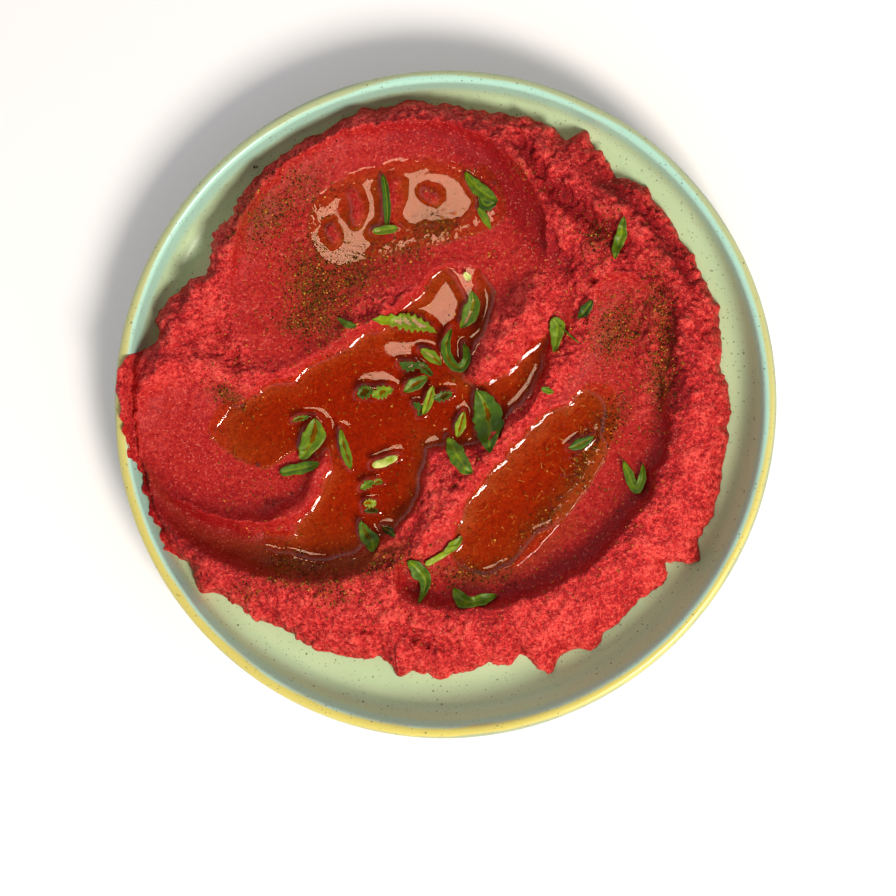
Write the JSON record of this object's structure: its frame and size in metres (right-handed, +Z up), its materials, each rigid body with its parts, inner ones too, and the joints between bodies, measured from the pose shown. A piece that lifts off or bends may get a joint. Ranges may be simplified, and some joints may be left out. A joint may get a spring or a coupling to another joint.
{
  "type": "plate of beetroot hummus",
  "caption": "Round walled plate with a swirled, ragged-edged mound of hummus whose hollows hold pools of oil.",
  "frame": {"origin": "middle of the foot ring, on the surface that the plate stands on", "axes": "+Z up through the middle of the plate; +X and +Y lie in the plane of the foot ring"},
  "size_m": [0.22, 0.22, 0.026],
  "materials": {
    "glaze": "satin speckled sage-green stoneware glaze, paler blue-green on the wall and straw-coloured on the lip",
    "hummus": "moist coarse paste, smoother where the spoon has passed",
    "oil": "clear amber-red oil with a mirror-smooth surface",
    "herb": "fresh torn leaf, waxy above",
    "spice": "dry ground spice"
  },
  "bodies": {
    "root": {"plate_base": "glaze", "plate_wall": "glaze", "hummus": "hummus", "oil_main_pool": "oil", "oil_right_pool": "oil", "oil_top_puddle": "oil"}
  },
  "joints": []
}
